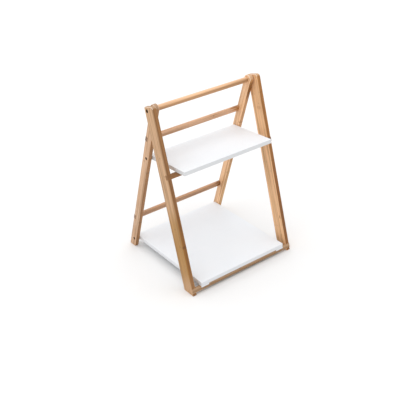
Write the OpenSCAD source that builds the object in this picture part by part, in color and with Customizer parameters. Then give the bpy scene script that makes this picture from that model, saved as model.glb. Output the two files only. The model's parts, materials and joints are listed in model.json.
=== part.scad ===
// Folding two-tier ladder shelf: a wide front frame and a narrower rear frame hinge on a
// round top rail, and two boards pinned in the rear legs rest on rungs of the front frame.
// Millimetres. +Z is up, the front is -Y, and the origin is on the floor under the middle
// of the footprint.

/* [Overall] */

// Width over the outer faces of the front legs
overall_w = 380; // [300:5:460]
// Height of the pivot axis above the floor
pivot_z = 520; // [400:5:640]
// Angle between the front legs and the vertical
front_lean = 15.6; // [10:0.1:20]
// Angle between the rear legs and the vertical
rear_lean = 18.2; // [12:0.1:24]

/* [Legs] */

// Thickness of every leg, measured along X
leg_t = 13; // [10:0.5:18]
// Width of a front leg across its length
front_leg_w = 42; // [38:0.5:50]
// Width of a rear leg across its length
rear_leg_w = 27; // [22:0.5:32]
// Distance from the pivot forward to the middle of a front leg
front_offset = 9.7; // [6:0.1:12]
// Distance from the pivot forward to the middle of a rear leg
rear_offset = 3.2; // [1:0.1:5]
// Front leg length above the pivot
front_head = 11.8; // [8:0.1:16]
// Distance above the pivot of the centre of the rear leg's round top
rear_head = 3.2; // [1:0.1:12]
// Radius of the front corner of a front leg's top
head_r_front = 9; // [4:0.5:12]
// Radius of the rear corner of a front leg's top
head_r_rear = 3.5; // [3:0.5:10]
// Radius on the edges of the legs
leg_edge_r = 1.8; // [0.5:0.1:2.5]
// Chamfer round the feet
foot_chamfer = 1.2; // [0.4:0.1:2]
// Gap between a front leg and the rear leg beside it
leg_gap = 3.2; // [2:0.1:6]

/* [Rungs] */

// Height of a front rung along the leg
front_rung_h = 14; // [10:0.5:16]
// Height of a rear rung along the leg
rear_rung_h = 16; // [10:0.5:18]
// Depth of every flat rung across the leg
rung_d = 10; // [8:0.5:12]
// Radius on the long edges of the rungs
rung_edge_r = 1.5; // [0.5:0.1:3]
// How far the front rungs stand out of the front legs
front_proud = 0.8; // [0:0.1:2]
// How far the rear rungs stand out of the rear legs
rear_proud = 0.3; // [0:0.1:2]
// Distance down the rear leg from the pivot to the upper rear rung
rear_rung_1 = 109; // [90:0.5:130]
// Distance down the rear leg from the pivot to the lower rear rung
rear_rung_2 = 426.5; // [400:0.5:450]
// Diameter of the round top rail
rail_d = 16; // [12:0.1:18]

/* [Boards] */

// Width of both boards
board_w = 316.8; // [260:0.2:320]
// Thickness of both boards
board_t = 12.5; // [10:0.5:15]
// Radius on the edges of the boards
board_edge_r = 1; // [0.4:0.1:2]
// Board pin line, measured forward of the pivot line of the rear legs
pin_offset = 6.4; // [5.5:0.1:8]
// Distance down the rear leg from the pivot to the upper board's pins
upper_pin_s = 173.4; // [160:0.1:185]
// Distance down the rear leg from the pivot to the lower board's pins
lower_pin_s = 515.2; // [500:0.1:520]
// Upper board length in front of its pins
upper_front = 164.5; // [140:0.5:165]
// Upper board length behind its pins
upper_back = 7.8; // [5:0.1:8]
// Lower board length in front of its pins
lower_front = 332; // [300:0.5:332]
// Lower board length behind its pins
lower_back = 7.4; // [5:0.1:8]
// Rise of the upper board towards the front
upper_tilt = 3.4; // [0:0.1:5]

/* [Clips] */

// Width of a lower board clip
clip_w = 26.5; // [20:0.5:40]
// Depth of a clip under the board
clip_d = 24; // [18:1:40]
// Thickness of the clip's top plate
clip_plate = 1; // [0.8:0.1:2]
// Thickness of the clip's front lip
clip_lip = 3; // [2:0.1:4]
// Drop of the clip's front lip below the board
clip_drop = 5.3; // [3:0.1:8]

/* [Hardware] */

// Diameter of the pivot bolt's shank
bolt_d = 5; // [4:0.1:6]
// Diameter of the pivot bolt's head
bolt_head_d = 9; // [8:0.1:10]
// Thickness of the pivot bolt's head
bolt_head_t = 3.4; // [2:0.1:4]
// Diameter of the recess for the bolt's head
bolt_recess_d = 10.4; // [9.5:0.1:12]
// Depth of the recess for the bolt's head
bolt_recess = 5; // [4:0.1:7]
// Bolt length inside the top rail
bolt_bite = 28; // [20:1:40]
// Diameter of a pivot washer
washer_d = 15; // [12:0.5:18]
// Diameter of a board pin's shank
pin_d = 4; // [3:0.1:5]
// Diameter of a board pin's head
pin_head_d = 7.4; // [6:0.1:8]
// Thickness of a board pin's head
pin_head_t = 2.8; // [2:0.1:4]
// Diameter of the recess for a board pin's head
pin_recess_d = 8.6; // [8:0.1:10]
// Depth of the recess for a board pin's head
pin_recess = 4.6; // [3:0.1:6]
// Board pin length inside the board
pin_bite = 30; // [20:1:40]
// Radial running clearance of the bolts and pins
run_gap = 0.06; // [0.02:0.01:0.1]
// Radial bite of the bolts in the rail and of the pins in the boards
press = 0.04; // [0.02:0.01:0.1]

/* [Hidden] */

$fn = 48;
front_foot = front_offset * cos(front_lean)
    + (pivot_z + front_offset * sin(front_lean)) * tan(front_lean)
    + front_leg_w / 2 / cos(front_lean);
rear_foot = -rear_offset * cos(rear_lean)
    + (pivot_z - rear_offset * sin(rear_lean)) * tan(rear_lean)
    + rear_leg_w / 2 / cos(rear_lean);
pivot_y = (front_foot - rear_foot) / 2;
front_x = overall_w / 2;
rear_x = front_x - leg_t - leg_gap;
rail_l = 2 * (rear_x - leg_t);
front_face = front_offset + front_leg_w / 2 + front_proud;
rear_face = rear_leg_w / 2 - rear_offset + rear_proud;
washer_t = leg_gap - 0.2;
clip_x = board_w / 2 - clip_w;
leg_reach = pivot_z + 60;
wood = [0.80, 0.63, 0.45];
wood_dark = [0.66, 0.45, 0.27];
white = [0.93, 0.94, 0.95];
steel = [0.42, 0.40, 0.38];

// A point on the front leg: s down the leg from the pivot, a towards the front
function front_pt(s, a) = [
    pivot_y - s * sin(front_lean) - a * cos(front_lean),
    pivot_z - s * cos(front_lean) + a * sin(front_lean)
];

// A point on the rear leg: s down the leg from the pivot, a towards the front
function rear_pt(s, a) = [
    pivot_y + s * sin(rear_lean) - a * cos(rear_lean),
    pivot_z - s * cos(rear_lean) - a * sin(rear_lean)
];

upper_pin = rear_pt(upper_pin_s, pin_offset);
lower_pin = rear_pt(lower_pin_s, pin_offset);

// Distance down the front leg to the top of a rung that carries a board from below
function rung_top(pin, tilt, under) =
    let (
        ny = sin(tilt),
        nz = cos(tilt),
        along = -sin(front_lean) * ny - cos(front_lean) * nz,
        across = -cos(front_lean) * ny + sin(front_lean) * nz,
        rise = (pivot_y - pin[0]) * ny + (pivot_z - pin[1]) * nz,
        drop = board_t / 2 + under + rung_edge_r + 0.05
    )
    (-drop - rise - (front_face - rung_edge_r) * across) / along - rung_edge_r;

front_rung_1 = rung_top(upper_pin, upper_tilt, 0);
front_rung_2 = rung_top(lower_pin, 0, clip_plate);

// Which sub-part to show

// Rectangle with round corners, centred
module round_rect(w, h, r) {
    square([w - 2 * r, h], center = true);
    square([w, h - 2 * r], center = true);
    for (x = [-1, 1], y = [-1, 1])
        translate([x * (w / 2 - r), y * (h / 2 - r)])
            circle(r = r, $fn = 24);
}

// Extrudes a side profile drawn in Y and Z along X
module along_x(x0, x1) {
    translate([x0, 0, 0])
        rotate([90, 0, 90])
            linear_extrude(x1 - x0)
                children();
}

// Round bar along X through a point given as [y, z]
module x_bar(p, x0, x1, d) {
    translate([x0, p[0], p[1]])
        rotate([0, 90, 0])
            cylinder(h = x1 - x0, d = d);
}

// Places children in a leg's own frame: origin at the pivot, +Z up the leg, +Y to the rear
module leg_frame(lean) {
    translate([0, pivot_y, pivot_z])
        rotate([lean, 0, 0])
            children();
}

// Half of a leg's section, from x = 0 to x = w, with its two edges at w rounded
module half_section(w) {
    translate([0, -leg_t / 2])
        square([w - leg_edge_r, leg_t]);
    translate([0, leg_edge_r - leg_t / 2])
        square([w, leg_t - 2 * leg_edge_r]);
    for (side = [-1, 1])
        translate([w - leg_edge_r, side * (leg_t / 2 - leg_edge_r)])
            circle(r = leg_edge_r, $fn = 24);
}

// Sector of a disc across the leg's thickness, with rounded rims, turned up from +Y
module leg_sector(r, start, sweep) {
    rotate([90 + start, 0, 0])
        rotate([0, 90, 0])
            rotate_extrude(angle = sweep, $fn = 96)
                half_section(r);
}

// Bar along the leg with its rounded section, from z0 to z1, its front face at y0
module leg_bar(y0, w, z0, z1) {
    translate([0, y0 + w / 2, z0])
        linear_extrude(z1 - z0)
            round_rect(leg_t, w, leg_edge_r);
}

// Front leg in its own frame before the foot is cut: a wide bar with two round top corners
module front_blank() {
    y0 = -front_offset - front_leg_w / 2;
    y1 = y0 + front_leg_w;
    yf = y0 + head_r_front;
    yr = y1 - head_r_rear;
    zf = front_head - head_r_front;
    zr = front_head - head_r_rear;
    leg_bar(y0, front_leg_w, -leg_reach, zf);
    translate([0, yf, zf])
        leg_sector(head_r_front, 90, 90);
    translate([0, yr, zf])
        rotate([90, 0, 0])
            linear_extrude(yr - yf)
                rotate(90)
                    half_section(head_r_front);
    translate([0, yr, zf])
        linear_extrude(zr - zf)
            rotate(90)
                half_section(head_r_rear);
    translate([0, yr, zr])
        leg_sector(head_r_rear, 0, 90);
}

// Rear leg in its own frame before the foot is cut: a narrow bar with a round top
module rear_blank() {
    leg_bar(-rear_offset - rear_leg_w / 2, rear_leg_w, -leg_reach, rear_head);
    translate([0, -rear_offset, rear_head])
        leg_sector(rear_leg_w / 2, 0, 180);
}

// Side view of everything above the floor, with the two corners of a foot chamfered.
// The foot runs from front_y to back_y, and slope is the leg's run to the rear per unit up
module foot_profile(front_y, back_y, slope) {
    c = foot_chamfer;
    up = 600;
    polygon([
        [front_y + slope * c - 0.01, c], [front_y + c, 0], [back_y - c, 0],
        [back_y + slope * c + 0.01, c],
        [back_y + slope * up + 60, up], [front_y + slope * up - 60, up]
    ]);
}

// Space that a foot may fill: level with the floor, chamfered all round
module foot_space(x, front_y, back_y, slope) {
    c = foot_chamfer;
    w = leg_t / 2 + 1;
    intersection() {
        along_x(x - leg_t, x + leg_t)
            foot_profile(front_y, back_y, slope);
        translate([x, 400, 0])
            rotate([90, 0, 0])
                linear_extrude(800)
                    polygon([
                        [c - leg_t / 2, 0], [leg_t / 2 - c, 0], [w, c + 1],
                        [w, 600], [-w, 600], [-w, c + 1]
                    ]);
    }
}

// Pocket for a front rung, in the front leg's own frame
module front_notch(s) {
    translate([-front_x - 1, -front_face - 2, -s - front_rung_h])
        cube([2 * front_x + 2, rung_d + 2, front_rung_h]);
}

// Pocket for a rear rung, in the rear leg's own frame
module rear_notch(s) {
    translate([-rear_x - 1, rear_face - rung_d, -s - rear_rung_h / 2])
        cube([2 * rear_x + 2, rung_d + 2, rear_rung_h]);
}

// Left front leg; the right one is its mirror image
module front_leg() {
    x = -front_x + leg_t / 2;
    front_y = pivot_y - front_foot;
    difference() {
        intersection() {
            leg_frame(-front_lean)
                translate([x, 0, 0])
                    front_blank();
            foot_space(x, front_y, front_y + front_leg_w / cos(front_lean), tan(front_lean));
        }
        leg_frame(-front_lean)
            front_notch(front_rung_1);
        leg_frame(-front_lean)
            front_notch(front_rung_2);
        x_bar([pivot_y, pivot_z], -front_x - 1, -front_x + bolt_recess, bolt_recess_d);
        x_bar([pivot_y, pivot_z], -front_x, -front_x + leg_t + 1, bolt_d + 2 * run_gap);
    }
}

// Left rear leg; the right one is its mirror image
module rear_leg() {
    x = -rear_x + leg_t / 2;
    back_y = pivot_y + rear_foot;
    difference() {
        intersection() {
            leg_frame(rear_lean)
                translate([x, 0, 0])
                    rear_blank();
            foot_space(x, back_y - rear_leg_w / cos(rear_lean), back_y, -tan(rear_lean));
        }
        leg_frame(rear_lean)
            rear_notch(rear_rung_1);
        leg_frame(rear_lean)
            rear_notch(rear_rung_2);
        x_bar([pivot_y, pivot_z], -rear_x - 1, -rear_x + leg_t + 1, bolt_d + 2 * run_gap);
        for (p = [upper_pin, lower_pin]) {
            x_bar(p, -rear_x - 1, -rear_x + pin_recess, pin_recess_d);
            x_bar(p, -rear_x, -rear_x + leg_t + 1, pin_d + 2 * run_gap);
        }
    }
}

module front_leg_left() {
    color(wood)
        front_leg();
}

module front_leg_right() {
    color(wood)
        mirror([1, 0, 0])
            front_leg();
}

module rear_leg_left() {
    color(wood)
        rear_leg();
}

module rear_leg_right() {
    color(wood)
        mirror([1, 0, 0])
            rear_leg();
}

// Round rail between the rear legs, bored at both ends for the pivot bolts
module top_rail() {
    color(wood)
        difference() {
            x_bar([pivot_y, pivot_z], -rail_l / 2, rail_l / 2, rail_d);
            for (side = [0, 1])
                mirror([side, 0, 0])
                    x_bar([pivot_y, pivot_z], -rail_l / 2 - 1,
                        -rail_l / 2 + bolt_bite + 0.5, bolt_d - 2 * press);
        }
}

// Flat rung of height h with eased edges, its section centred on [y, z] of a leg's own frame
module rung(lean, y, z, half_w, h) {
    leg_frame(lean)
        translate([-half_w, y, z])
            rotate([90, 0, 90])
                linear_extrude(2 * half_w)
                    round_rect(rung_d, h, rung_edge_r);
}

module rear_upper_rung() {
    color(wood_dark)
        rung(rear_lean, rear_face - rung_d / 2, -rear_rung_1, rear_x, rear_rung_h);
}

module rear_lower_rung() {
    color(wood_dark)
        rung(rear_lean, rear_face - rung_d / 2, -rear_rung_2, rear_x, rear_rung_h);
}

module front_upper_rung() {
    color(wood_dark)
        rung(-front_lean, rung_d / 2 - front_face,
            -front_rung_1 - front_rung_h / 2, front_x, front_rung_h);
}

module front_lower_rung() {
    color(wood_dark)
        rung(-front_lean, rung_d / 2 - front_face,
            -front_rung_2 - front_rung_h / 2, front_x, front_rung_h);
}

// Level board around its pin line, which lies on the X axis, with eased edges
module board(front, back) {
    depth = front + back;
    mid_y = (back - front) / 2;
    difference() {
        intersection() {
            translate([0, mid_y, -board_t])
                linear_extrude(2 * board_t)
                    round_rect(board_w, depth, 2);
            translate([0, mid_y + depth, 0])
                rotate([90, 0, 0])
                    linear_extrude(2 * depth)
                        round_rect(board_w, board_t, board_edge_r);
            along_x(-board_w, board_w)
                translate([mid_y, 0])
                    round_rect(depth, board_t, board_edge_r);
        }
        for (side = [0, 1])
            mirror([side, 0, 0])
                x_bar([0, 0], -board_w / 2 - 1, -board_w / 2 + pin_bite + 0.5,
                    pin_d - 2 * press);
    }
}

module upper_board() {
    color(white)
        translate([0, upper_pin[0], upper_pin[1]])
            rotate([-upper_tilt, 0, 0])
                board(upper_front, upper_back);
}

module lower_board() {
    color(white)
        translate([0, lower_pin[0], lower_pin[1]])
            board(lower_front, lower_back);
}

// Left clip: a plate under the board and a lip in front of the lower front rung
module lower_clip() {
    y0 = lower_pin[0] - lower_front;
    z0 = lower_pin[1] - board_t / 2;
    translate([-board_w / 2, y0, z0 - clip_plate])
        cube([clip_w, clip_d, clip_plate]);
    translate([-board_w / 2, 0, 0])
        rotate([90, 0, 90])
            linear_extrude(clip_w) {
                translate([y0, z0 - clip_drop + clip_lip / 2])
                    square([clip_lip, clip_drop - clip_plate - clip_lip / 2]);
                translate([y0 + clip_lip / 2, z0 - clip_drop + clip_lip / 2])
                    circle(d = clip_lip, $fn = 24);
            }
}

module lower_clip_left() {
    color(white)
        lower_clip();
}

module lower_clip_right() {
    color(white)
        mirror([1, 0, 0])
            lower_clip();
}

// Left pivot bolt: a round head with a hexagon socket, and a plain shank
module pivot_bolt() {
    p = [pivot_y, pivot_z];
    head_x = -front_x + bolt_recess - 0.1;
    difference() {
        union() {
            x_bar(p, head_x - bolt_head_t, head_x, bolt_head_d);
            x_bar(p, head_x - 0.5, -rail_l / 2 + bolt_bite, bolt_d);
        }
        translate([head_x - bolt_head_t - 1, p[0], p[1]])
            rotate([0, 90, 0])
                cylinder(h = 3, d = 4.6, $fn = 6);
    }
}

module pivot_bolt_left() {
    color(steel)
        pivot_bolt();
}

module pivot_bolt_right() {
    color(steel)
        mirror([1, 0, 0])
            pivot_bolt();
}

// Left washer that keeps the front leg clear of the rear leg
module pivot_washer() {
    p = [pivot_y, pivot_z];
    difference() {
        x_bar(p, -rear_x - washer_t, -rear_x, washer_d);
        x_bar(p, -rear_x - washer_t - 1, -rear_x + 1, bolt_d + 0.6);
    }
}

module pivot_washer_left() {
    color(steel)
        pivot_washer();
}

module pivot_washer_right() {
    color(steel)
        mirror([1, 0, 0])
            pivot_washer();
}

// Left board pin through the rear leg into the edge of a board, with a cross recess
module board_pin(p) {
    head_x = -rear_x + pin_recess - 0.1;
    difference() {
        union() {
            x_bar(p, head_x - pin_head_t, head_x, pin_head_d);
            x_bar(p, head_x - 0.5, -board_w / 2 + pin_bite, pin_d);
        }
        for (turn = [0, 90])
            translate([head_x - pin_head_t, p[0], p[1]])
                rotate([turn, 0, 0])
                    cube([3, 4.4, 1], center = true);
    }
}

module upper_pin_left() {
    color(steel)
        board_pin(upper_pin);
}

module upper_pin_right() {
    color(steel)
        mirror([1, 0, 0])
            board_pin(upper_pin);
}

module lower_pin_left() {
    color(steel)
        board_pin(lower_pin);
}

module lower_pin_right() {
    color(steel)
        mirror([1, 0, 0])
            board_pin(lower_pin);
}

front_leg_left();
front_leg_right();
rear_leg_left();
rear_leg_right();
top_rail();
rear_upper_rung();
rear_lower_rung();
front_upper_rung();
front_lower_rung();
upper_board();
lower_board();
lower_clip_left();
lower_clip_right();
pivot_bolt_left();
pivot_bolt_right();
pivot_washer_left();
pivot_washer_right();
upper_pin_left();
upper_pin_right();
lower_pin_left();
lower_pin_right();
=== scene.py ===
"""Looks of the folding ladder shelf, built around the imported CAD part."""

import json
import math

import bpy
from mathutils import Matrix, Vector


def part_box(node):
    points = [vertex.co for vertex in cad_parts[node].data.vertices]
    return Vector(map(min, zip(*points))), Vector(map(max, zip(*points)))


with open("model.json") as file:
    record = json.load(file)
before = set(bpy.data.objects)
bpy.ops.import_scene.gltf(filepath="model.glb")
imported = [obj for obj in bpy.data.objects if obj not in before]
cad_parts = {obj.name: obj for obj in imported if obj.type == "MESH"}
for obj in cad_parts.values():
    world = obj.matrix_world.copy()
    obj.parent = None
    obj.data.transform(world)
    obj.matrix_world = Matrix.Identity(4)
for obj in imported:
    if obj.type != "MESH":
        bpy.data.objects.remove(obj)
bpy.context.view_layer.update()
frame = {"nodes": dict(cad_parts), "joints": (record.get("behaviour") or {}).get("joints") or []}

NODES = frame["nodes"]
JOINTS = {j["name"]: j for j in frame["joints"]}


# ---------------------------------------------------------------- materials

# sockets of the Mix node in its colour mode
MIX_FACTOR, MIX_A, MIX_B, MIX_RESULT = 0, 6, 7, 2
BLACK, WHITE = (0, 0, 0), (1, 1, 1)


def grey(value):
    return (value, value, value)


def scaled(color, factor):
    return tuple(c * factor for c in color)


class Tree:
    """Short names for the shader nodes of one material. Each method adds a node and returns its output."""

    def __init__(self, name):
        self.material = bpy.data.materials.new(name)
        self.material.use_nodes = True
        self.tree = self.material.node_tree
        self.tree.nodes.clear()
        output = self.node("OutputMaterial")
        self.shader = self.node("BsdfPrincipled")
        self.feed(output.inputs["Surface"], self.shader.outputs["BSDF"])
        coordinates = self.node("TexCoord")
        self.position = coordinates.outputs["Object"]
        self.normal = coordinates.outputs["Normal"]

    def node(self, kind):
        return self.tree.nodes.new("ShaderNode" + kind)

    def feed(self, target, value):
        """Links an output to an input, or sets a constant colour or number on it."""
        if isinstance(value, bpy.types.NodeSocket):
            self.tree.links.new(value, target)
        elif isinstance(value, tuple):
            target.default_value = (*value, 1)
        else:
            target.default_value = value

    def mapping(self, vector, rotation=(0, 0, 0), scale=(1, 1, 1), location=(0, 0, 0), kind="POINT"):
        n = self.node("Mapping")
        n.vector_type = kind
        n.inputs["Rotation"].default_value = rotation
        n.inputs["Scale"].default_value = scale
        if kind == "POINT":
            n.inputs["Location"].default_value = location
        self.feed(n.inputs["Vector"], vector)
        return n.outputs["Vector"]

    def split(self, vector):
        n = self.node("SeparateXYZ")
        self.feed(n.inputs["Vector"], vector)
        return n.outputs["X"], n.outputs["Y"], n.outputs["Z"]

    def noise(self, vector, scale, detail=3.0, rough=0.5, distort=0.0):
        n = self.node("TexNoise")
        n.inputs["Scale"].default_value = scale
        n.inputs["Detail"].default_value = detail
        n.inputs["Roughness"].default_value = rough
        n.inputs["Distortion"].default_value = distort
        self.feed(n.inputs["Vector"], vector)
        return n.outputs["Fac"]

    def random(self, value):
        n = self.node("TexWhiteNoise")
        n.noise_dimensions = "1D"
        self.feed(n.inputs["W"], value)
        return n.outputs["Value"]

    def dots(self, vector, scale):
        n = self.node("TexVoronoi")
        n.inputs["Scale"].default_value = scale
        self.feed(n.inputs["Vector"], vector)
        return n.outputs["Distance"]

    def ramp(self, value, stops, interpolation="LINEAR"):
        """stops are (position, colour) pairs."""
        n = self.node("ValToRGB")
        n.color_ramp.interpolation = interpolation
        elements = n.color_ramp.elements
        while len(elements) > 1:
            elements.remove(elements[-1])
        elements[0].position, elements[0].color = stops[0][0], (*stops[0][1], 1)
        for position, color in stops[1:]:
            elements.new(position).color = (*color, 1)
        self.feed(n.inputs["Fac"], value)
        return n.outputs["Color"]

    def mix(self, kind, factor, a, b):
        n = self.node("Mix")
        n.data_type = "RGBA"
        n.blend_type = kind
        for index, value in ((MIX_FACTOR, factor), (MIX_A, a), (MIX_B, b)):
            self.feed(n.inputs[index], value)
        return n.outputs[MIX_RESULT]

    def math(self, operation, *values):
        n = self.node("Math")
        n.operation = operation
        for target, value in zip(n.inputs, values):
            self.feed(target, value)
        return n.outputs[0]

    def from_middle(self, value):
        """How far a repeating value is from the middle of its cell, 0 to 0.5."""
        part = self.math("FRACT", value)
        return self.math("ABSOLUTE", self.math("SUBTRACT", part, 0.5))

    def bump(self, height, strength, distance, normal=None):
        n = self.node("Bump")
        n.inputs["Strength"].default_value = strength
        n.inputs["Distance"].default_value = distance
        self.feed(n.inputs["Height"], height)
        if normal is not None:
            self.feed(n.inputs["Normal"], normal)
        return n.outputs["Normal"]

    def finish(self, color, roughness, normal, **settings):
        """Feeds the shader. settings are constants on its other sockets, with _ for spaces."""
        self.feed(self.shader.inputs["Base Color"], color)
        self.feed(self.shader.inputs["Roughness"], roughness)
        self.feed(self.shader.inputs["Normal"], normal)
        for socket, value in settings.items():
            self.shader.inputs[socket.replace("_", " ")].default_value = value
        return self.material


LEG_STRIP, BAR_STRIP = 0.0062, 0.0045  # width of a glued strip, in metres
KNOT_SPACING = 0.21                    # metres along a strip
KNOT_FREE = 0.60                       # share of the strips that have no small knots
GRAIN_DOTS = 1500.0                    # end grain dots per metre
BAMBOO_ROUGHNESS, END_GRAIN_ROUGHNESS = 0.42, 0.72
RAGGED = 0.12                          # how far the fibres blur the ends of a patch, in metres
# painted shade on the walls of the recesses
BORE_SHADE = (0.20, 0.145, 0.08)
# painted highlight: the tone of the rims of the leg heads
HEAD_RIM_HIGHLIGHT = (0.92, 0.74, 0.62)


def patch(t, along, middle, half):
    """1 around the middle of a stretch of the piece, fading to 0 at its ends; along is the ragged Z."""
    gap = t.math("SUBTRACT", along, middle + RAGGED / 2)
    share = t.math("DIVIDE", t.math("ABSOLUTE", gap), half)
    return t.ramp(share, [(0.0, WHITE), (0.45, grey(0.9)), (1.0, BLACK)], "EASE")


def add_mark(t, color, place, cloud, mark, tone):
    """Paints one oval knot with an uneven rim."""
    across_at, along_at, half_width, half_length, strength = mark
    u = t.math("DIVIDE", t.math("SUBTRACT", place[1], across_at), half_width)
    v = t.math("DIVIDE", t.math("SUBTRACT", place[2], along_at), half_length)
    ring = t.math("MULTIPLY_ADD", v, v, t.math("MULTIPLY", u, u))
    rough_ring = t.math("MULTIPLY_ADD", cloud, 0.3, ring)
    blot = t.ramp(rough_ring, [(0.25, grey(strength)), (0.55, grey(strength * 0.8)), (1.0, BLACK)])
    return t.mix("MIX", blot, color, tone)


def add_head(t, color, normal, tone):
    """Tones a rounded upper end, with painted highlights on the rims where it turns into the broad faces.
    """
    upper = t.ramp(normal[2], [(0.0, BLACK), (0.25, BLACK), (0.65, grey(0.75)), (1.0, grey(0.75))])
    color = t.mix("MIX", upper, color, tone)
    # the paler rims are painted highlights where the rounded end turns into the broad faces
    turn = t.ramp(t.math("ABSOLUTE", normal[0]),
                  [(0.0, BLACK), (0.12, BLACK), (0.38, WHITE), (0.86, WHITE), (0.96, BLACK)])
    lifted = t.ramp(normal[2], [(0.0, BLACK), (0.06, BLACK), (0.25, WHITE)])
    rim = t.math("MULTIPLY", t.math("MULTIPLY", turn, lifted), 0.8)
    return t.mix("MIX", rim, color, HEAD_RIM_HIGHLIGHT)


def add_bore_shade(t, color, place, bore):
    """Paints shade on the wall of a recess that runs along X."""
    y, z, radius = bore
    dy = t.math("SUBTRACT", place[1], y)
    dz = t.math("SUBTRACT", place[2], z)
    reach = t.math("MULTIPLY_ADD", dz, dz, t.math("MULTIPLY", dy, dy))
    # painted shade inside the recess
    in_shade = t.math("LESS_THAN", reach, radius * radius)
    return t.mix("MULTIPLY", in_shade, color, BORE_SHADE)


def bamboo(name, rotation, base, dark, seed, strip=LEG_STRIP, knots=1.0, edge_tint=None, patches=(),
           edge_patches=(), under=None, bores=(), end_dark=0.50, head=None, marks=()):
    """Laminated bamboo with darker knots and end grain.
    rotation turns the row frame so that Z runs along the piece, X through its thickness and Y
    across its width.
    edge_tint tones the faces that look along Y, where the pressed side of the bamboo shows.
    patches are (middle, half length, tint): stretches of another tone along the piece, in metres; some are
    wood tone, some painted shade;
    edge_patches are the same, only on the faces that edge_tint tones: some are wood tone, some painted
    shade and painted light.
    under is (height, blend, tint): below that height a bar is darkened by the tint, painted shade on its
    lower side.
    bores are (y, z, radius): recesses along X with painted shade on their walls.
    head is the tone of a rounded upper end, with painted highlights on its rims; without it both ends show
    dark end grain.
    marks are (across, along, half width, half length, strength): knots in the turned frame, in metres."""
    t = Tree(name)
    turned = t.mapping(t.position, rotation)
    local = t.mapping(t.position, rotation, location=(seed * 0.37, seed * 0.11, seed * 0.23))
    fibre = t.noise(t.mapping(local, scale=(900, 900, 14)), 1.0, 4.0, 0.62, 0.15)
    streak = t.noise(t.mapping(local, scale=(170, 170, 4.5)), 1.0, 3.0, 0.55, 0.25)
    cloud = t.noise(local, 9.0, 2.0, 0.5)

    # which glued strip a point is in, its random value, and the joint lines between strips
    _, width, length = t.split(local)
    wobble = t.noise(t.mapping(local, scale=(4, 4, 4)), 1.0, 1.0)
    across = t.math("MULTIPLY_ADD", width, 1.0 / strip, wobble)
    cell = t.random(t.math("FLOOR", across))
    glue = t.ramp(t.from_middle(across), [(0.0, BLACK), (0.455, BLACK), (0.5, WHITE)])
    # small knots: narrow bands that cross some strips, each at its own height
    knot = t.from_middle(t.math("MULTIPLY_ADD", length, 1.0 / KNOT_SPACING, cell))
    band = t.ramp(knot, [(0.0, WHITE), (0.006, grey(0.75)), (0.013, grey(0.12)), (0.03, BLACK)])
    some = t.ramp(cell, [(0.0, BLACK), (KNOT_FREE, BLACK), (KNOT_FREE + 0.04, WHITE)])
    knot_share = t.math("MULTIPLY", t.math("MULTIPLY", band, some), 0.55 * knots)

    pale = tuple(min(1.0, c * 1.17) for c in base)
    color = t.ramp(streak, [(0.37, dark), (0.48, base), (0.63, pale)])
    strips = t.ramp(cell, [(0.0, (0.84, 0.82, 0.79)), (0.5, WHITE), (1.0, (1.09, 1.08, 1.06))])
    color = t.mix("MULTIPLY", 0.85, color, strips)
    fibres = t.ramp(fibre, [(0.30, (0.84, 0.80, 0.75)), (0.55, WHITE), (0.80, (1.05, 1.045, 1.03))])
    color = t.mix("MULTIPLY", 0.8, color, fibres)
    clouds = t.ramp(cloud, [(0.30, (0.93, 0.91, 0.88)), (0.62, grey(1.03))])
    color = t.mix("MULTIPLY", 0.9, color, clouds)
    color = t.mix("MIX", knot_share, color, scaled(dark, 0.55))
    color = t.mix("MIX", t.math("MULTIPLY", glue, 0.22), color, scaled(dark, 0.62))

    # the larger knots, and the stretches of another tone: wood tone, and painted shade at some rung ends
    place_turned = t.split(turned)
    ragged = t.math("MULTIPLY_ADD", streak, RAGGED, place_turned[2])
    for mark in marks:
        mark_tone = (dark[0] * 0.55, dark[1] * 0.42, dark[2] * 0.30)
        color = add_mark(t, color, place_turned, cloud, mark, mark_tone)
    for middle, half, tint in patches:
        color = t.mix("MULTIPLY", patch(t, ragged, middle, half), color, tint)
    place = t.split(t.position)
    # painted shade: the lower side of a bar is darkened below the given height
    if under is not None:
        height, blend, tint = under
        below = t.math("MULTIPLY_ADD", place[2], -1.0 / blend, height / blend)
        waved = t.math("MULTIPLY_ADD", streak, 0.8, below)
        color = t.mix("MULTIPLY", t.ramp(waved, [(0.0, BLACK), (1.0, WHITE)], "EASE"), color, tint)
    normal = t.split(t.mapping(t.normal, rotation, kind="NORMAL"))
    if edge_tint is not None:
        side = t.ramp(t.math("ABSOLUTE", normal[1]), [(0.0, BLACK), (0.70, BLACK), (0.92, WHITE)])
        color = t.mix("MULTIPLY", side, color, edge_tint)
        # stretches on the edge faces: wood tone, painted shade and painted light
        for middle, half, tint in edge_patches:
            both = t.math("MULTIPLY", patch(t, ragged, middle, half), side)
            color = t.mix("MULTIPLY", both, color, tint)

    # end grain: dotted and darker, on both ends, or only on the foot of a piece with a head
    ends = t.math("ABSOLUTE", normal[2]) if head is None else t.math("MULTIPLY", normal[2], -1.0)
    end_share = t.math("MULTIPLY", t.ramp(ends, [(0.0, BLACK), (0.72, BLACK), (0.93, WHITE)]), 0.75)
    grain = t.ramp(t.dots(local, GRAIN_DOTS),
                   [(0.10, scaled(dark, end_dark)), (0.45, scaled(base, end_dark * 1.7))])
    color = t.mix("MIX", end_share, color, grain)
    if head is not None:
        color = add_head(t, color, normal, head)
    for bore in bores:
        color = add_bore_shade(t, color, place, bore)

    rough = t.ramp(fibre, [(0.3, grey(BAMBOO_ROUGHNESS + 0.12)), (0.7, grey(BAMBOO_ROUGHNESS - 0.05))])
    rough = t.mix("MIX", end_share, rough, grey(END_GRAIN_ROUGHNESS))
    relief = t.bump(glue, 0.25, 0.0003, t.bump(fibre, 0.22, 0.0004))
    return t.finish(color, rough, relief, Specular_IOR_Level=0.42)


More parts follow.
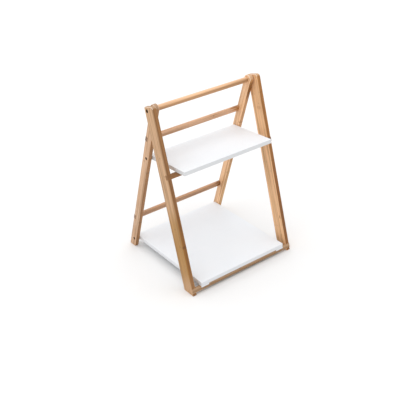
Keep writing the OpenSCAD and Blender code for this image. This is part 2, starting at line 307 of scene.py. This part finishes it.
def white_board(name, side_shade):
    """White matte laminate with a faint orange-peel and light handling marks; side_shade darkens the
    upright faces, painted shade set for each board.
    """
    t = Tree(name)
    local = t.mapping(t.position)
    peel = t.noise(local, 900.0, 3.0, 0.6)
    soft = t.noise(local, 7.0, 3.0, 0.55, 0.4)
    scuff = t.noise(t.mapping(local, (0, 0, 0.5), (14, 120, 14)), 1.0, 4.0, 0.7, 0.6)
    color = t.ramp(soft, [(0.30, (0.795, 0.820, 0.852)), (0.55, (0.812, 0.834, 0.864)),
                          (0.75, (0.824, 0.844, 0.872))])
    scuffs = t.ramp(scuff, [(0.0, WHITE), (0.60, WHITE), (0.78, (0.965, 0.965, 0.96))])
    color = t.mix("MULTIPLY", 1.0, color, scuffs)
    color = t.mix("MULTIPLY", 1.0, color, t.ramp(peel, [(0.30, grey(0.985)), (0.70, grey(1.01))]))
    # painted shade: the upright faces of the board are darkened by a tint set for each board
    level = t.math("ABSOLUTE", t.split(t.normal)[2])
    band = t.ramp(level, [(0.0, WHITE), (0.55, WHITE), (0.90, BLACK)])
    color = t.mix("MULTIPLY", band, color, side_shade)
    rough = t.ramp(scuff, [(0.35, grey(0.46)), (0.75, grey(0.60))])
    return t.finish(color, rough, t.bump(peel, 0.10, 0.0002), Specular_IOR_Level=0.4)


def white_plastic(name):
    """Moulded white plastic, a touch shinier than the boards, with a faint flow pattern."""
    t = Tree(name)
    local = t.mapping(t.position)
    flow = t.noise(t.mapping(local, (0, 0, 0.3), (60, 260, 260)), 1.0, 3.0, 0.5, 0.3)
    grit = t.noise(local, 1400.0, 2.0, 0.6)
    color = t.ramp(flow, [(0.3, (0.80, 0.81, 0.83)), (0.7, (0.835, 0.845, 0.86))])
    rough = t.ramp(flow, [(0.3, grey(0.30)), (0.7, grey(0.42))])
    return t.finish(color, rough, t.bump(grit, 0.08, 0.0002))


def dark_steel(name, base):
    """Dull, dark plated steel with worn, lighter flecks."""
    t = Tree(name)
    local = t.mapping(t.position)
    grain = t.noise(local, 1800.0, 4.0, 0.65)
    wear = t.noise(local, 420.0, 3.0, 0.6, 0.5)
    color = t.ramp(wear, [(0.35, scaled(base, 0.68)), (0.60, base), (0.78, scaled(base, 2.5))])
    rough = t.ramp(grain, [(0.3, grey(0.38)), (0.7, grey(0.58))])
    return t.finish(color, rough, t.bump(grain, 0.2, 0.0001), Metallic=0.20, Specular_IOR_Level=0.15)


FRONT_LEAN, REAR_LEAN = math.radians(15.6), math.radians(18.2)
ALONG_X = (0, math.radians(90), 0)
EDGE_TINT = (0.55, 0.42, 0.255)
PIN_RECESS, PIVOT_RECESS = 0.0044, 0.0053  # radii that the painted shade on the recess walls reaches, in metres


def leg(name, lean, seed, base, edge=EDGE_TINT, **more):
    dark = (base[0] * 0.74, base[1] * 0.67, base[2] * 0.56)
    return bamboo(name, (lean, 0, 0), base, dark, seed, edge_tint=edge, head=scaled(base, 0.66), **more)


def bar(name, seed, base, **more):
    dark = (base[0] * 0.76, base[1] * 0.70, base[2] * 0.60)
    return bamboo(name, ALONG_X, base, dark, seed, strip=BAR_STRIP, **more)


def bore_shade_at(joint, radius):
    y, z = JOINTS[joint]["pos_m"][1:]
    return (y, z, radius)


rail_low, rail_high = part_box("top_rail")
rail_z = (rail_low[2] + rail_high[2]) / 2
pins = (bore_shade_at("upper_shelf_fold", PIN_RECESS), bore_shade_at("lower_shelf_fold", PIN_RECESS))
pivot = (bore_shade_at("frame_fold", PIVOT_RECESS),)
looks = {
    "front_leg_left": leg(
        "bamboo_front_left", FRONT_LEAN, 1.0, (0.555, 0.338, 0.182), bores=pivot,
        patches=[(0.10, 0.14, (0.70, 0.58, 0.22))],
        edge_patches=[(0.10, 0.17, (1.42, 1.55, 1.9))],
        marks=[(-0.1730, 0.104, 0.0025, 0.0050, 0.6)]),
    "front_leg_right": leg(
        "bamboo_front_right", FRONT_LEAN, 2.3, (0.752, 0.453, 0.239), (0.54, 0.39, 0.19),
        bores=pivot, knots=0.5,
        # painted shade: the front edge is darker towards the bottom
        edge_patches=[(0.09, 0.27, (0.50, 0.42, 0.28))],
        marks=[(-0.1665, 0.064, 0.0030, 0.0075, 0.8), (-0.1570, 0.412, 0.0110, 0.0070, 0.30)]),
    "rear_leg_left": leg(
        "bamboo_rear_left", -REAR_LEAN, 3.1, (0.592, 0.368, 0.220), bores=pins,
        patches=[(0.07, 0.055, (1.19, 1.30, 1.47))],
        # painted light: the front edge is lighter near the top; near the foot the edge is toned darker
        edge_patches=[(0.470, 0.035, (1.35, 1.45, 1.55)), (0.07, 0.055, (0.84, 0.77, 0.68))]),
    "rear_leg_right": leg(
        "bamboo_rear_right", -REAR_LEAN, 4.7, (0.837, 0.521, 0.300), (0.67, 0.57, 0.42), bores=pins,
        # painted shade darkens the top of the front edge, between the two legs; painted light lifts the
        # lower part of the edge
        edge_patches=[(0.468, 0.040, (0.42, 0.33, 0.19)), (0.03, 0.20, (1.18, 1.30, 1.38))],
        marks=[(0.1550, 0.068, 0.0070, 0.0120, 0.35)]),
    "top_rail": bar(
        "bamboo_rail", 5.2, (0.81, 0.510, 0.307),
        # painted shade on the lower side of the rail
        under=(rail_z + 0.0040, 0.004, (0.66, 0.58, 0.48))),
    "rear_upper_rung": bar(
        "bamboo_rear_rung_1", 6.4, (0.64, 0.385, 0.235), end_dark=0.12,
        # painted shade at the right end, where the rung meets the right rear leg
        patches=[(-0.155, 0.022, (0.62, 0.45, 0.20))]),
    "rear_lower_rung": bar(
        "bamboo_rear_rung_2", 7.9, (0.487, 0.271, 0.150), end_dark=0.34,
        # painted shade at the right end, where the rung meets the right rear leg; the left end is toned a
        # little darker
        patches=[(-0.155, 0.020, (0.54, 0.40, 0.18)), (0.145, 0.05, (0.90, 0.90, 0.90))]),
    # wood tone darkened well below the other rungs: painted shade from the board above
    "front_upper_rung": bar("bamboo_front_rung_1_painted_shade", 8.8, (0.25, 0.115, 0.038), end_dark=0.76),
    "front_lower_rung": bar("bamboo_front_rung_2", 9.6, (0.42, 0.262, 0.148), end_dark=0.84),
    "upper_board": white_board("white_laminate_upper", (0.865, 0.855, 0.84)),
    "lower_board": white_board("white_laminate_lower", (0.94, 0.93, 0.92)),
}
clip = white_plastic("white_clip")
steel = dark_steel("dark_steel", (0.030, 0.021, 0.015))
bronzed = dark_steel("bronzed_steel", (0.072, 0.043, 0.016))
for node, obj in NODES.items():
    if node in looks:
        material = looks[node]
    elif "clip" in node:
        material = clip
    elif "pivot" in node:
        material = bronzed
    else:
        material = steel
    obj.data.materials.clear()
    obj.data.materials.append(material)

# ---------------------------------------------------------------- studio

FLOOR_HALF, FLOOR_COLOR, FLOOR_ROUGHNESS = 14.0, (0.83, 0.83, 0.83), 0.9
SKY_STRENGTH = 0.70
SUN_FROM, SUN_POWER, SUN_ANGLE = (-0.15, 0.05, 1.0), 1.90, math.radians(100)
# the photograph's camera
CAMERA_AT = (-1.1772, -1.5649, 1.3086)
AZIMUTH, ELEVATION, ROLL = math.radians(-36.446), math.radians(30.138), math.radians(-2.026)
SENSOR_WIDTH, FOCAL_LENGTH = 36.0, 66.61  # in mm

scene = bpy.context.scene

floor_material = bpy.data.materials.new("floor_pale")
floor_material.use_nodes = True
floor_shader = floor_material.node_tree.nodes["Principled BSDF"]
floor_shader.inputs["Base Color"].default_value = (*FLOOR_COLOR, 1)
floor_shader.inputs["Roughness"].default_value = FLOOR_ROUGHNESS
floor_mesh = bpy.data.meshes.new("floor")
corners = [(x * FLOOR_HALF, y * FLOOR_HALF, 0) for x, y in ((-1, -1), (1, -1), (1, 1), (-1, 1))]
floor_mesh.from_pydata(corners, [], [(0, 1, 2, 3)])
floor_mesh.materials.append(floor_material)
floor = bpy.data.objects.new("floor", floor_mesh)
scene.collection.objects.link(floor)

world = bpy.data.worlds.new("studio")
scene.world = world
world.use_nodes = True
sky = world.node_tree.nodes["Background"]
sky.inputs["Color"].default_value = (1.0, 1.0, 1.0, 1)
sky.inputs["Strength"].default_value = SKY_STRENGTH

sun_data = bpy.data.lights.new("overhead", "SUN")
sun_data.energy = SUN_POWER
sun_data.angle = SUN_ANGLE
sun = bpy.data.objects.new("overhead", sun_data)
sun.location = SUN_FROM
sun.rotation_euler = (-Vector(SUN_FROM)).to_track_quat("-Z", "Y").to_euler()
scene.collection.objects.link(sun)

cam_data = bpy.data.cameras.new("photo_camera")
cam_data.sensor_width = SENSOR_WIDTH
cam_data.lens = FOCAL_LENGTH
cam = bpy.data.objects.new("photo_camera", cam_data)
back = Vector((math.sin(AZIMUTH) * math.cos(ELEVATION), -math.cos(AZIMUTH) * math.cos(ELEVATION),
               math.sin(ELEVATION)))
right = Vector((math.cos(AZIMUTH), math.sin(AZIMUTH), 0))
up = back.cross(right)
rolled_right = right * math.cos(ROLL) + up * math.sin(ROLL)
rolled_up = up * math.cos(ROLL) - right * math.sin(ROLL)
cam.location = CAMERA_AT
cam.rotation_euler = Matrix((rolled_right, rolled_up, back)).transposed().to_euler()
scene.collection.objects.link(cam)
bpy.context.scene.camera = cam
scene.view_settings.view_transform = "Standard"
